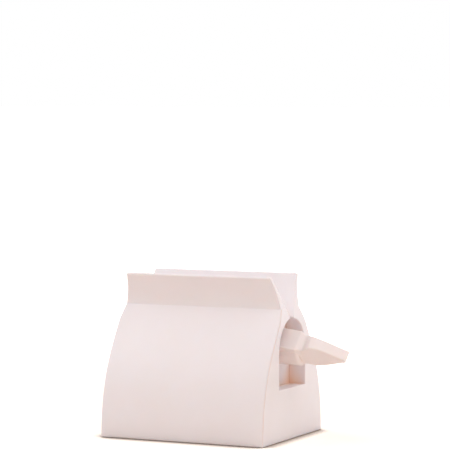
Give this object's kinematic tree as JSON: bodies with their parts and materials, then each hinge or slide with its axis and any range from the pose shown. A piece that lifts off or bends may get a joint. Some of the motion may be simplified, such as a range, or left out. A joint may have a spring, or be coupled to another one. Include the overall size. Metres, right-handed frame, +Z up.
{
  "type": "toothpaste squeezer",
  "caption": "Moulded stand with a flared mouth, a narrow neck slot and a split roller key that winds up a tube's flat tail.",
  "frame": {"origin": "on the surface that the stand rests on, under the middle of the whole object's box", "axes": "+X along the roller towards the handle, +Y from the front panel to the back panel, +Z up through the mouth"},
  "size_m": [0.0935, 0.0576, 0.0644],
  "materials": {
    "stand_plastic": "satin moulded polypropylene, warm pinkish white",
    "key_plastic": "satin moulded polypropylene, warm pinkish white"
  },
  "bodies": {
    "stand": {"stand": "stand_plastic"},
    "key": {"roller_key": "key_plastic"}
  },
  "joints": [
    {"name": "key_turn", "type": "hinge", "parent": "stand", "child": "key", "pos_m": [0, 0, 0.0349], "axis": [1, 0, 0], "continuous": true}
  ]
}
